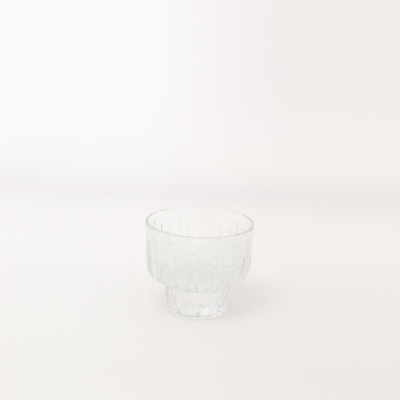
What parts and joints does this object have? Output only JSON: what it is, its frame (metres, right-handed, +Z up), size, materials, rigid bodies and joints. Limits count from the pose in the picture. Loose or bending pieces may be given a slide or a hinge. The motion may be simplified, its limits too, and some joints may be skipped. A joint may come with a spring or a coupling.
{
  "type": "footed glass bowl",
  "caption": "Clear pressed glass bowl: a wide cup with a rounded shoulder on a narrower solid foot, with icicle ridges that run down the outside and end in drips on the foot, and a smooth rim.",
  "frame": {"origin": "centre of the base, on the table plane", "axes": "+Z up along the bowl's axis; any direction in the table plane is equal, and the ridges lie all round"},
  "size_m": [0.0898, 0.0898, 0.076],
  "materials": {
    "glass": "clear colourless pressed glass, fire polished, smooth inside and icy outside"
  },
  "bodies": {
    "root": {"bowl": "glass"}
  },
  "joints": []
}
